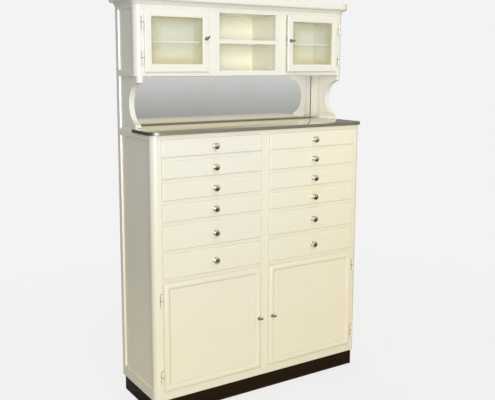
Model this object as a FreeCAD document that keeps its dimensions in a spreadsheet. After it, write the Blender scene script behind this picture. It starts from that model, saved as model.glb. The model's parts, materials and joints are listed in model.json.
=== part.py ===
import FreeCAD, Part
import os
import re
import Sketcher

# Medical cabinet of painted wood: plinth, drawers over two doors, metal worktop, mirror bay, glazed upper cabinet.
# Millimetres. +X is to the right, the front faces -Y and +Z is up. The origin is on the floor, under the middle
# of the overall box, which runs from the drawer knobs to the back.

doc = FreeCAD.newDocument("medical_cabinet")
sheet = doc.addObject("Spreadsheet::Sheet", "sizes")
nodes = []

# Driving dimensions
SIZES = {
    # Case
    "body_width": 1020,
    "body_depth": 322,
    "upper_depth": 190,
    "side_board": 22,
    "corner_radius": 24,
    "post_width": 44,
    "post_flat": 1,
    "case_board": 18,
    "back_board": 8,
    "frame_board": 20,
    "dust_board": 10,
    # Plinth
    "plinth_height": 70,
    "plinth_inset": 10,
    "plinth_board": 18,
    # Rows of fronts on the lower case, from the plinth up
    "bottom_margin": 35.5,
    "lower_door_height": 444,
    "deep_height": 98.5,
    "shallow_height": 69,
    "row_gap": 14,
    "top_margin": 17,
    "column_gap": 37.5,
    "front_overlap": 6.5,
    "front_gap": 0.5,
    # Drawers
    "drawer_front": 8,
    "drawer_round": 6,
    "drawer_play": 1.5,
    "drawer_lift": 0.3,
    "drawer_headroom": 3,
    "drawer_wall": 10,
    "drawer_bottom": 5,
    "drawer_bottom_set": 6,
    "drawer_back_play": 6,
    # Knobs
    "knob_radius": 14,
    "knob_length": 23,
    "knob_dome": 6.5,
    "knob_stem_radius": 5.5,
    "knob_collar_radius": 9,
    "knob_collar": 3,
    # Side frames and panels
    "rear_stile": 24,
    "bottom_rail": 45,
    "work_rail": 20,
    "upper_rail": 23,
    "top_rail": 11,
    "panel_bevel": 3,
    "panel_recess": 7,
    "side_panel": 10,
    # Cupboard shelf
    "cupboard_shelf_height": 220,
    "shelf_depth": 230,
    "cleat_width": 12,
    "cleat_height": 16,
    # Worktop
    "worktop_core": 11.5,
    "worktop_sheet": 1.5,
    "worktop_side_reach": 9,
    "worktop_front_reach": 15,
    "worktop_radius": 40,
    "worktop_play": 0.3,
    # Mirror bay and brackets
    "bay_height": 204,
    "pendant_drop": 25,
    "foot_height": 11,
    "foot_setback": 27,
    "bracket_board": 22,
    "bracket_round": 16,
    "foot_bevel": 15,
    "bay_batten": 5,
    "bay_stile": 57,
    "bay_rail": 17,
    "mirror_glass": 5,
    "mirror_bead": 6,
    # Upper case
    "upper_floor": 21.5,
    "upper_opening": 231.5,
    "upper_head": 18,
    "niche_width": 277,
    "mullion_width": 58,
    "upper_shelf": 16,
    "upper_shelf_height": 109,
    "niche_shelf_setback": 3,
    "glazed_shelf_setback": 40,
    # Doors
    "door_board": 18,
    "lower_lip": 12,
    "upper_lip": 8,
    "rebate_play": 2,
    "lower_door_round": 9,
    "upper_door_round": 5,
    "lower_stile": 29,
    "lower_panel": 7,
    "lower_panel_set": 9,
    "upper_overlap": 7,
    "upper_stile": 30,
    "upper_door_rail": 33,
    "glass_pane": 4,
    "glass_set": 9,
    "ajar_angle": 2.5,
    # Hinges
    "hinge_offset": 8.5,
    "hinge_reach": 8,
    "lower_hinge_inset": 66,
    "upper_hinge_inset": 56,
    "knuckle_radius": 5,
    "knuckle_length": 25,
    "knuckle_gap": 0.5,
    "pin_radius": 2,
    "pin_clearance": 0.05,
    "pin_length": 18,
    "hinge_leaf": 2,
    "leaf_width": 12,
    "leaf_play": 1.5,
    # Turn latches
    "latch_inset": 15,
    "lower_latch_height": 222,
    "upper_latch_height": 133,
    "spindle_radius": 3.5,
    "spindle_clearance": 0.05,
    "rosette_radius": 9,
    "rosette": 3,
    "rosette_gap": 0.3,
    "latch_reach": 12,
    "lever_length": 16,
    "lever_width": 9,
    "lever_thickness": 5,
    "lever_tilt": 45,
    "tongue_length": 21,
    "tongue_width": 8,
    "tongue_thickness": 3,
    "tongue_gap": 1,
    # Cornice
    "cove_height": 15,
    "cove_reach": 10,
    "fascia_height": 29,
    "fascia_reach": 26,
    "fascia_round": 8,
    "cornice_seat": 14,
    "cover_board": 10,
}
for row, (alias, value) in enumerate(SIZES.items(), 1):
    sheet.set(f"A{row}", alias)
    sheet.set(f"B{row}", str(value))
    sheet.setAlias(f"B{row}", alias)
doc.recompute()


def cell(text):
    """Turns a formula in sheet aliases into an expression."""
    return re.sub(r"[a-z]\w*", lambda word: word[0] if word[0] == "sqrt" else f"sizes.{word[0]}", text)


def number(text):
    """Works a formula out, for the first guess of a sketch point."""
    return float(sheet.evalExpression(cell(text)))


def bind(thing, **formulas):
    for name, text in formulas.items():
        thing.setExpression(name, cell(text))


def place(thing, x="0", y="0", z="0"):
    for axis, text in zip("xyz", (x, y, z)):
        thing.setExpression(f"Placement.Base.{axis}", cell(text))
    return thing


def box(name, x, y, z):
    """A board between two formulas on each axis."""
    board = doc.addObject("Part::Box", name)
    bind(board, Length=f"{x[1]} - ({x[0]})", Width=f"{y[1]} - ({y[0]})", Height=f"{z[1]} - ({z[0]})")
    return place(board, x[0], y[0], z[0])


def rod(name, radius, length, x="0", y="0", z="0", turn=None):
    """A cylinder along +Z, or turned about an axis by 90 degrees."""
    bar = doc.addObject("Part::Cylinder", name)
    if turn:
        bar.Placement.Rotation = FreeCAD.Rotation(FreeCAD.Vector(*turn), 90)
    bind(bar, Radius=radius, Height=length)
    return place(bar, x, y, z)


def fuse(name, *pieces):
    joined = doc.addObject("Part::MultiFuse", name)
    joined.Shapes = list(pieces)
    return joined


def cut(name, base, tool):
    left = doc.addObject("Part::Cut", name)
    left.Base = base
    left.Tool = tool
    return left


def mirrored(piece):
    """The left-hand twin of a right-hand piece."""
    twin = doc.addObject("Part::Mirroring", f"{piece.Name}_twin")
    twin.Source = piece
    twin.Normal = FreeCAD.Vector(1, 0, 0)
    return twin


def node(label, *pieces):
    """One named sub-part, as a group of its solids."""
    group = doc.addObject("Part::Compound", label)
    group.Links = list(pieces)
    nodes.append(group)
    return group


def draw(profile, corners, closed=True):
    """Draws an outline and ties every corner to the sheet. A corner may carry the centre and radius of the arc
    that leaves it."""
    first = profile.GeometryCount
    points = [FreeCAD.Vector(number(corner[0]), number(corner[1]), 0) for corner in corners]
    ends = []
    for i in range(len(corners) if closed else len(corners) - 1):
        start, stop = points[i], points[(i + 1) % len(points)]
        if len(corners[i]) == 2:
            profile.addGeometry(Part.LineSegment(start, stop))
        else:
            centre = FreeCAD.Vector(number(corners[i][2]), number(corners[i][3]), 0)
            outward = ((start + stop) / 2 - centre).normalize()
            profile.addGeometry(Part.Arc(start, centre + outward * number(corners[i][4]), stop))
        begins = profile.getPoint(first + i, 1).distanceToPoint(start) < 1e-6
        ends.append((1, 2) if begins else (2, 1))
    for i, (begin, end) in enumerate(ends):
        if closed or i + 1 < len(ends):
            after = (i + 1) % len(ends)
            profile.addConstraint(Sketcher.Constraint("Coincident", first + i, end, first + after, ends[after][0]))
        if len(corners[i]) == 5:
            tie(profile, Sketcher.Constraint("Radius", first + i, number(corners[i][4])), corners[i][4])
        tie_point(profile, first + i, begin, corners[i])
    if not closed:
        tie_point(profile, first + len(ends) - 1, ends[-1][1], corners[-1])


def tie(profile, constraint, text):
    index = profile.addConstraint(constraint)
    profile.renameConstraint(index, f"tie_{index}")
    profile.setExpression(f"Constraints.tie_{index}", cell(text))


def tie_point(profile, element, end, point):
    for kind, axis, text in (("DistanceX", -2, point[0]), ("DistanceY", -1, point[1])):
        if text == "0":
            profile.addConstraint(Sketcher.Constraint("PointOnObject", element, end, axis))
        else:
            tie(profile, Sketcher.Constraint(kind, -1, 1, element, end, number(text)), text)


def drill(profile, x, y, radius):
    """Draws a round hole."""
    hole = profile.addGeometry(Part.Circle(FreeCAD.Vector(number(x), number(y), 0), FreeCAD.Vector(0, 0, 1), 1))
    tie(profile, Sketcher.Constraint("Radius", hole, number(radius)), radius)
    tie_point(profile, hole, 3, (x, y))


def sketch(body, role, name="profile"):
    """A sketch on one of the body's own origin planes."""
    profile = body.newObject("Sketcher::SketchObject", f"{body.Name}_{name}")
    profile.AttachmentSupport = [(next(f for f in body.Origin.OriginFeatures if f.Role == role), "")]
    profile.MapMode = "FlatFace"
    return profile


def pad(body, profile, length, backwards=False):
    block = body.newObject("PartDesign::Pad", f"{profile.Name}_pad")
    block.Profile = profile
    block.Reversed = backwards
    bind(block, Length=length)
    doc.recompute()
    return block


def soften(body, base, radius, wanted):
    """Rounds the edges that a test picks."""
    rounding = body.newObject("PartDesign::Fillet", f"{base.Name}_round")
    rounding.Base = (base, [f"Edge{i}" for i, edge in enumerate(base.Shape.Edges, 1) if wanted(edge)])
    bind(rounding, Radius=radius)
    doc.recompute()
    return rounding


def rectangle(x0, y0, x1, y1):
    return [(x0, y0), (x1, y0), (x1, y1), (x0, y1)]


# Planes that the pieces share, as formulas
HALF = "(body_width / 2)"
INSIDE = f"({HALF} - side_board)"
BACK = "((body_depth + front_gap + drawer_front + knob_length) / 2)"
FACE = f"({BACK} - body_depth)"
UPPER_FACE = f"({BACK} - upper_depth)"
LINING = f"({BACK} - back_board)"
OUTER_EDGE = f"({HALF} - post_width)"
INNER_EDGE = "(column_gap / 2 + front_overlap)"
POST = "(corner_radius + post_flat)"
BRACKET_INNER = f"({HALF} - panel_recess - bracket_board)"
BAY_EDGE = f"({BRACKET_INNER} - bay_batten)"
MIRROR_FACE = f"({LINING} - mirror_glass)"

CASE = "plinth_height"
DOOR_BOTTOM = f"({CASE} + bottom_margin)"
FLOOR_TOP = f"({DOOR_BOTTOM} + front_overlap)"
ROW_HEIGHTS = ["shallow_height"] * 4 + ["deep_height"] * 2
row_bottoms = []
level = f"({DOOR_BOTTOM} + lower_door_height + row_gap)"
for height in reversed(ROW_HEIGHTS):
    row_bottoms.insert(0, level)
    level = f"({level} + {height} + row_gap)"
WORKTOP_UNDER = f"({row_bottoms[0]} + shallow_height + top_margin)"
WORKTOP_TOP = f"({WORKTOP_UNDER} + worktop_core + worktop_sheet)"
UPPER_CASE = f"({WORKTOP_TOP} + bay_height)"
UPPER_FLOOR = f"({UPPER_CASE} + upper_floor)"
UPPER_HEAD = f"({UPPER_FLOOR} + upper_opening)"
CORNICE = f"({UPPER_HEAD} + upper_head)"
TOP = f"({CORNICE} + cove_height + fascia_height)"
FOOT_FRONT = f"({UPPER_FACE} + foot_setback)"
SIDES = {"left": -1, "right": 1}


def across(side, near, far):
    """The X range of a piece between two distances from the middle, on the left or the right."""
    return (near, far) if side > 0 else (f"-({far})", f"-({near})")


def notched(name, face, z):
    """A board across the whole case behind a face frame, notched at its front ends for the corner posts."""
    behind_posts = f"{face} + {POST}"
    rear = box(f"{name}_rear", (f"-{INSIDE}", INSIDE), (behind_posts, LINING), z)
    front = box(f"{name}_front", (f"-{OUTER_EDGE}", OUTER_EDGE), (f"{face} + frame_board", behind_posts), z)
    return fuse(name, rear, front)


def plinth():
    outer = f"({HALF} - plinth_inset)"
    front = (f"{FACE} + plinth_inset", f"{FACE} + plinth_inset + plinth_board")
    rear = (f"{BACK} - plinth_board", BACK)
    height = ("0", CASE)
    boards = [box(f"plinth_{n}", (f"-{outer}", outer), y, height) for n, y in (("front", front), ("rear", rear))]
    for name, side in SIDES.items():
        ends = across(side, f"{outer} - plinth_board", outer)
        boards.append(box(f"plinth_{name}", ends, (front[1], rear[0]), height))
    node("plinth", *boards)


def recess(name, front, bottom, top, slope="panel_bevel"):
    """The cut for one side panel: a bevelled mouth in the outer face and a straight window behind it."""
    mouth = doc.addObject("Part::Wedge", f"{name}_mouth")
    rear = f"{BACK} - rear_stile"
    for axis, low, high, bevel in (("X", front, rear, "panel_bevel"), ("Z", bottom, top, slope)):
        bind(mouth, **{f"{axis}min": low, f"{axis}max": high})
        bind(mouth, **{f"{axis}2min": f"{low} + {bevel}", f"{axis}2max": f"{high} - {bevel}"})
    bind(mouth, Ymin="0", Ymax="panel_recess")
    mouth.Placement.Rotation = FreeCAD.Rotation(FreeCAD.Vector(0, 0, 1), 90)
    place(mouth, HALF)
    window = box(
        f"{name}_window",
        (INSIDE, f"{HALF} - panel_recess"),
        (f"{front} + panel_bevel", f"{rear} - panel_bevel"),
        (f"{bottom} + {slope}", f"{top} - {slope}"),
    )
    return fuse(f"{name}_recess", mouth, window)


def side_frames():
    """Stiles and rails of each side, bevelled round the panels and the bracket that lie in them, behind the corner
    posts."""
    width = (INSIDE, HALF)
    lower_front = f"{FACE} + {POST}"
    upper_front = f"{UPPER_FACE} + {POST}"
    stile_front = f"{BACK} - rear_stile - panel_bevel"
    lower = (f"{CASE} + bottom_rail", f"{WORKTOP_UNDER} - work_rail")
    upper = (f"{UPPER_CASE} + upper_rail", f"{CORNICE} - top_rail")
    plates = fuse(
        "side_plates",
        box("side_lower_plate", width, (lower_front, BACK), (CASE, WORKTOP_UNDER)),
        box("side_upper_plate", width, (upper_front, BACK), (UPPER_CASE, CORNICE)),
    )
    recesses = fuse(
        "side_recesses",
        recess("side_lower", lower_front, *lower),
        recess("side_upper", upper_front, *upper),
    )
    bay_rail = (WORKTOP_UNDER, f"{WORKTOP_UNDER} + foot_bevel")
    bay = fuse(
        "side_bay",
        box("side_bay_stile", width, (stile_front, BACK), (WORKTOP_UNDER, UPPER_CASE)),
        box("side_bay_rail", width, (FOOT_FRONT, BACK), bay_rail),
    )
    bay_top = f"{UPPER_CASE} + foot_bevel"
    bay_recess = recess("bay", f"{FOOT_FRONT} - panel_bevel", WORKTOP_UNDER, bay_top, "foot_bevel")
    frame = fuse("side_frame", cut("side_panelled", plates, recesses), cut("side_bay_bevelled", bay, bay_recess))
    node("right_side_frame", frame)
    node("left_side_frame", mirrored(frame))

    thickness = (f"{HALF} - panel_recess - side_panel", f"{HALF} - panel_recess")
    panels = []
    for name, front, (bottom, top) in (("lower", lower_front, lower), ("upper", upper_front, upper)):
        height = (f"{bottom} + panel_bevel", f"{top} - panel_bevel")
        panels.append(box(f"side_panel_{name}", thickness, (f"{front} + panel_bevel", stile_front), height))
    node("side_panels", *panels, *[mirrored(panel) for panel in panels])


def corner_post(name, y, z, height):
    """A post with a rounded outer front corner, drawn from its inner face."""
    post = doc.addObject("PartDesign::Body", name)
    profile = sketch(post, "XY_Plane")
    draw(
        profile,
        [
            ("0", "0"),
            ("post_width - corner_radius", "0", "post_width - corner_radius", "corner_radius", "corner_radius"),
            ("post_width", "corner_radius"),
            ("post_width", POST),
            ("0", POST),
        ],
    )
    pad(post, profile, height)
    return place(post, OUTER_EDGE, y, z)


def corner_posts():
    posts = [
        corner_post("lower_post", FACE, CASE, f"{WORKTOP_UNDER} - {CASE}"),
        corner_post("upper_post", UPPER_FACE, UPPER_CASE, f"{CORNICE} - {UPPER_CASE}"),
    ]
    node("corner_posts", *posts, *[mirrored(post) for post in posts])


def bracket():
    """The C-curved board between the stile and rail of the bay, with a pendant nose above and a foot below."""
    radius = "(bay_height - pendant_drop - foot_height) / 2"
    worktop_level = "(worktop_core + worktop_sheet - foot_bevel)"
    centre = f"({worktop_level} + foot_height + {radius})"
    rear = "upper_depth - rear_stile - panel_bevel"
    height = f"({worktop_level} + bay_height)"
    board = doc.addObject("PartDesign::Body", "bracket")
    profile = sketch(board, "YZ_Plane")
    draw(
        profile,
        [
            (rear, "0"),
            (rear, height),
            ("0", height),
            ("0", f"{centre} + {radius}", "0", centre, radius),
            ("foot_setback", f"{centre} - sqrt(({radius}) ^ 2 - foot_setback ^ 2)"),
            ("foot_setback", "0"),
        ],
    )
    blank = pad(board, profile, "bracket_board")
    outer = blank.Length.Value
    soften(
        board,
        blank,
        "bracket_round",
        lambda edge: all(abs(v.X - outer) < 0.01 and abs(v.Y) < 0.01 for v in edge.Vertexes),
    )
    return place(board, BRACKET_INNER, UPPER_FACE, f"{WORKTOP_UNDER} + foot_bevel")


def brackets():
    """The brackets and the bevelled battens that frame their inner faces."""
    front = f"({MIRROR_FACE} - bay_stile)"
    stile = doc.addObject("PartDesign::Body", "bay_stile")
    profile = sketch(stile, "XY_Plane")
    step = f"{BACK} - rear_stile - panel_bevel - {front}"
    draw(
        profile,
        [
            ("0", "foot_bevel"),
            ("bay_batten", "0"),
            ("bay_batten", step),
            (f"{INSIDE} - {BAY_EDGE}", step),
            (f"{INSIDE} - {BAY_EDGE}", "bay_stile"),
            ("0", "bay_stile"),
        ],
    )
    pad(stile, profile, "bay_height")
    place(stile, BAY_EDGE, front, WORKTOP_TOP)

    rail = doc.addObject("PartDesign::Body", "bay_rail")
    profile = sketch(rail, "XZ_Plane")
    draw(profile, [("0", "0"), ("bay_batten", "0"), ("bay_batten", "bay_rail"), ("0", "bay_rail - foot_bevel")])
    pad(rail, profile, f"{front} - {FOOT_FRONT}")
    place(rail, BAY_EDGE, front, WORKTOP_TOP)

    pieces = [bracket(), stile, rail]
    node("brackets", *pieces, *[mirrored(piece) for piece in pieces])


def lower_face_frame():
    """Centre stile and the rails between the rows, behind the lay-on fronts."""
    depth = (FACE, f"{FACE} + frame_board")
    stile = box("centre_stile", (f"-{INNER_EDGE}", INNER_EDGE), depth, (CASE, WORKTOP_UNDER))
    rails = []
    spans = [(CASE, FLOOR_TOP)]
    tops = [f"{DOOR_BOTTOM} + lower_door_height"]
    tops += [f"{bottom} + {height}" for bottom, height in zip(reversed(row_bottoms), reversed(ROW_HEIGHTS))]
    feet = list(reversed(row_bottoms)) + [f"{WORKTOP_UNDER} - front_overlap"]
    spans += [(f"{top} - front_overlap", f"{foot} + front_overlap") for top, foot in zip(tops, feet)]
    for name, side in SIDES.items():
        width = across(side, INNER_EDGE, OUTER_EDGE)
        rails += [box(f"rail_{name}_{i}", width, depth, span) for i, span in enumerate(spans)]
    node("lower_face_frame", stile, *rails)


def case_boards():
    """Cupboard floor, middle partition, guides beside the drawers and a dust board under every drawer."""
    depth = (f"{FACE} + frame_board", LINING)
    half_wall = "case_board / 2"
    boards = []
    drawers_from = f"{row_bottoms[-1]} + front_overlap - dust_board"
    partition = box("partition", (f"-({half_wall})", half_wall), depth, (FLOOR_TOP, WORKTOP_UNDER))
    floor = notched("cupboard_floor", FACE, (f"{FLOOR_TOP} - case_board", FLOOR_TOP))
    for name, side in SIDES.items():
        guided = (drawers_from, WORKTOP_UNDER)
        boards.append(box(f"inner_guide_{name}", across(side, half_wall, INNER_EDGE), depth, guided))
        behind_post = (f"{FACE} + {POST}", LINING)
        boards.append(box(f"outer_guide_{name}", across(side, OUTER_EDGE, INSIDE), behind_post, guided))
        for row, bottom in enumerate(row_bottoms, 1):
            top = f"{bottom} + front_overlap"
            span = (f"{top} - dust_board", top)
            boards.append(box(f"dust_{name}_{row}", across(side, INNER_EDGE, OUTER_EDGE), depth, span))
    node("case_boards", floor, partition, *boards)


def back_boards():
    depth = (LINING, BACK)
    width = (f"-{INSIDE}", INSIDE)
    lower = box("lower_back", width, depth, (CASE, WORKTOP_UNDER))
    bay = box("bay_back", width, depth, (WORKTOP_UNDER, UPPER_CASE))
    upper = box("upper_back", width, depth, (UPPER_CASE, f"{TOP} - cover_board"))
    node("back_boards", lower, bay, upper)


def cupboard_shelves():
    top = f"{FLOOR_TOP} + cupboard_shelf_height"
    depth = (f"{LINING} - shelf_depth", LINING)
    pieces = []
    for name, side in SIDES.items():
        span = across(side, "case_board / 2", INSIDE)
        pieces.append(box(f"shelf_{name}", span, depth, (f"{top} - case_board", top)))
        height = (f"{top} - case_board - cleat_height", f"{top} - case_board")
        for end, near, far in (("inner", "case_board / 2", "case_board / 2 + cleat_width"),
                               ("outer", f"{INSIDE} - cleat_width", INSIDE)):
            pieces.append(box(f"cleat_{name}_{end}", across(side, near, far), depth, height))
    node("cupboard_shelves", *pieces)


def worktop_slab(name, inset, height):
    """A slab with round front corners, notched behind for the brackets, all edges drawn in by an inset."""
    slab = doc.addObject("PartDesign::Body", name)
    radius = f"(worktop_radius - {inset})"
    left, right = inset, f"(body_width + 2 * worktop_side_reach - {inset})"
    front = inset
    shoulder = f"({FOOT_FRONT} - {FACE} + worktop_front_reach - worktop_play - {inset})"
    rear = f"({LINING} - {FACE} + worktop_front_reach)"
    neck = "(worktop_side_reach + side_board + worktop_play)"
    profile = sketch(slab, "XY_Plane")
    draw(
        profile,
        [
            (left, f"{front} + {radius}", f"{left} + {radius}", f"{front} + {radius}", radius),
            (f"{left} + {radius}", front),
            (f"{right} - {radius}", front, f"{right} - {radius}", f"{front} + {radius}", radius),
            (right, f"{front} + {radius}"),
            (right, shoulder),
            (f"body_width + 2 * worktop_side_reach - {neck}", shoulder),
            (f"body_width + 2 * worktop_side_reach - {neck}", rear),
            (neck, rear),
            (neck, shoulder),
            (left, shoulder),
        ],
    )
    pad(slab, profile, height)
    return place(slab, f"-{HALF} - worktop_side_reach", f"{FACE} - worktop_front_reach", WORKTOP_UNDER)


def worktop():
    core = worktop_slab("worktop_core_slab", "worktop_sheet", "worktop_core")
    node("worktop_board", core)
    skin = worktop_slab("worktop_skin_slab", "0", "worktop_core + worktop_sheet")
    node("worktop_metal", cut("worktop_skin", skin, core))


def mirror():
    """The mirror glass on the bay's back board, held by thin beads all round."""
    height = (WORKTOP_TOP, UPPER_CASE)
    node("mirror", box("mirror_pane", (f"-{INSIDE}", INSIDE), (MIRROR_FACE, LINING), height))
    depth = (f"{MIRROR_FACE} - mirror_bead", MIRROR_FACE)
    width = (f"-{BAY_EDGE}", BAY_EDGE)
    beads = [
        box("bead_bottom", width, depth, (WORKTOP_TOP, f"{WORKTOP_TOP} + mirror_bead")),
        box("bead_top", width, depth, (f"{UPPER_CASE} - mirror_bead", UPPER_CASE)),
    ]
    between = (f"{WORKTOP_TOP} + mirror_bead", f"{UPPER_CASE} - mirror_bead")
    for name, side in SIDES.items():
        beads.append(box(f"bead_{name}", across(side, f"{BAY_EDGE} - mirror_bead", BAY_EDGE), depth, between))
    node("mirror_beads", *beads)


def upper_case():
    """Floor, partitions and head of the upper cabinet, its face frame and its shelves."""
    niche = "(niche_width / 2)"
    mullion = f"({niche} + mullion_width)"
    rear_of_frame = f"({UPPER_FACE} + frame_board)"
    depth = (rear_of_frame, LINING)
    boards = [
        notched("upper_floor_board", UPPER_FACE, (UPPER_CASE, UPPER_FLOOR)),
        notched("upper_head_board", UPPER_FACE, (UPPER_HEAD, CORNICE)),
    ]
    front = (UPPER_FACE, rear_of_frame)
    frame = [
        box("upper_bottom_rail", (f"-{OUTER_EDGE}", OUTER_EDGE), front, (UPPER_CASE, UPPER_FLOOR)),
        box("upper_top_rail", (f"-{OUTER_EDGE}", OUTER_EDGE), front, (UPPER_HEAD, CORNICE)),
    ]
    shelf_top = f"({UPPER_FLOOR} + upper_shelf_height + upper_shelf)"
    thickness = (f"{UPPER_FLOOR} + upper_shelf_height", shelf_top)
    niche_depth = (f"{UPPER_FACE} + niche_shelf_setback", LINING)
    shelves = [box("niche_shelf", (f"-{niche}", niche), niche_depth, thickness)]
    for name, side in SIDES.items():
        between = (UPPER_FLOOR, UPPER_HEAD)
        boards.append(box(f"upper_wall_{name}", across(side, niche, f"{niche} + case_board"), depth, between))
        frame.append(box(f"mullion_{name}", across(side, niche, mullion), front, between))
        span = across(side, f"{niche} + case_board", INSIDE)
        behind = (f"{UPPER_FACE} + glazed_shelf_setback", LINING)
        shelves.append(box(f"upper_shelf_{name}", span, behind, thickness))
    node("upper_case_boards", *boards)
    node("upper_face_frame", *frame)
    node("upper_shelves", *shelves)


def cornice():
    """A moulding with a cove and a round-nosed fascia, carried round both front corners, under a cover board."""
    moulding = doc.addObject("PartDesign::Body", "cornice_moulding")
    path = sketch(moulding, "XY_Plane", "path")
    turn = "corner_radius"
    draw(
        path,
        [
            ("body_width", "upper_depth"),
            ("body_width", turn, f"body_width - {turn}", turn, turn),
            (f"body_width - {turn}", "0"),
            (turn, "0", turn, turn, turn),
            ("0", turn),
            ("0", "upper_depth"),
        ],
        closed=False,
    )
    profile = sketch(moulding, "XZ_Plane")
    bind(profile, **{"AttachmentOffset.Base.z": "-upper_depth"})
    face = "body_width"
    nose = f"({face} + fascia_reach)"
    top = "(cove_height + fascia_height)"
    draw(
        profile,
        [
            (f"{face} - cornice_seat", "0"),
            (face, "0"),
            (f"{face} + cove_reach", "cove_height"),
            (f"{nose} - fascia_round", "cove_height", f"{nose} - fascia_round",
             "cove_height + fascia_round", "fascia_round"),
            (nose, "cove_height + fascia_round"),
            (nose, top),
            (f"{face} - cornice_seat", top),
        ],
    )
    run = moulding.newObject("PartDesign::AdditivePipe", "cornice_run")
    run.Profile = profile
    run.Spine = (path, [f"Edge{i}" for i in range(1, 6)])
    place(moulding, f"-{HALF}", UPPER_FACE, CORNICE)

    cover = doc.addObject("PartDesign::Body", "cornice_cover")
    outline = sketch(cover, "XY_Plane")
    corner = "(corner_radius - cornice_seat)"
    right = "body_width - cornice_seat"
    draw(
        outline,
        [
            ("cornice_seat", "corner_radius", "corner_radius", "corner_radius", corner),
            ("corner_radius", "cornice_seat"),
            ("body_width - corner_radius", "cornice_seat", "body_width - corner_radius", "corner_radius", corner),
            (right, "corner_radius"),
            (right, "upper_depth"),
            ("cornice_seat", "upper_depth"),
        ],
    )
    pad(cover, outline, "cover_board")
    place(cover, f"-{HALF}", UPPER_FACE, f"{TOP} - cover_board")
    node("cornice", moulding, cover)


def drawer(name, side, row):
    """A thin lay-on front on a plain box, and a turned knob in the middle of the front."""
    label = f"drawer_{name}_{row}"
    bottom, height = row_bottoms[row - 1], ROW_HEIGHTS[row - 1]
    width = f"({OUTER_EDGE} + front_overlap - column_gap / 2)"
    left = across(side, "column_gap / 2", f"{OUTER_EDGE} + front_overlap")[0]
    rear_of_front = f"({FACE} - front_gap)"

    front = doc.addObject("PartDesign::Body", f"{label}_front")
    profile = sketch(front, "XZ_Plane")
    draw(profile, rectangle("0", "0", width, height))
    board = pad(front, profile, "drawer_front")
    face = -board.Length.Value
    soften(front, board, "drawer_round", lambda edge: all(abs(v.Y - face) < 0.01 for v in edge.Vertexes))
    place(front, left, rear_of_front, bottom)

    near, far = f"({INNER_EDGE} + drawer_play)", f"({OUTER_EDGE} - drawer_play)"
    foot = f"({bottom} + front_overlap + drawer_lift)"
    top = f"({bottom} + {height} - front_overlap - drawer_headroom)"
    rear = f"({LINING} - drawer_back_play)"
    inner = across(side, f"{near} + drawer_wall", f"{far} - drawer_wall")
    floor = f"({foot} + drawer_bottom_set)"
    length = (rear_of_front, rear)
    fore_wall, back_wall = f"({rear_of_front} + drawer_wall)", f"({rear} - drawer_wall)"
    node(
        label,
        front,
        box(f"{label}_inner_wall", across(side, near, f"{near} + drawer_wall"), length, (foot, top)),
        box(f"{label}_outer_wall", across(side, f"{far} - drawer_wall", far), length, (foot, top)),
        box(f"{label}_fore", inner, (rear_of_front, fore_wall), (foot, top)),
        box(f"{label}_back", inner, (back_wall, rear), (foot, top)),
        box(f"{label}_base", inner, (fore_wall, back_wall), (floor, f"{floor} + drawer_bottom")),
    )

    knob = f"knob_{name}_{row}"
    seat = f"({rear_of_front} - drawer_front)"
    middle = f"column_gap / 2 + {width} / 2"
    middle = across(side, middle, middle)[0]
    spot = {"x": middle, "y": seat, "z": f"{bottom} + {height} / 2", "turn": (1, 0, 0)}
    head = doc.addObject("Part::Ellipsoid", f"{knob}_head")
    bind(head, Radius1="knob_dome", Radius2="knob_radius", Radius3="knob_radius")
    head.Placement.Rotation = FreeCAD.Rotation(FreeCAD.Vector(1, 0, 0), 90)
    place(head, spot["x"], f"{seat} - knob_length + knob_dome", spot["z"])
    collar = rod(f"{knob}_collar", "knob_collar_radius", "knob_collar", **spot)
    stem = rod(f"{knob}_stem", "knob_stem_radius", "knob_length - knob_dome", **spot)
    node(knob, fuse(f"{knob}_body", collar, stem, head))


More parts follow.
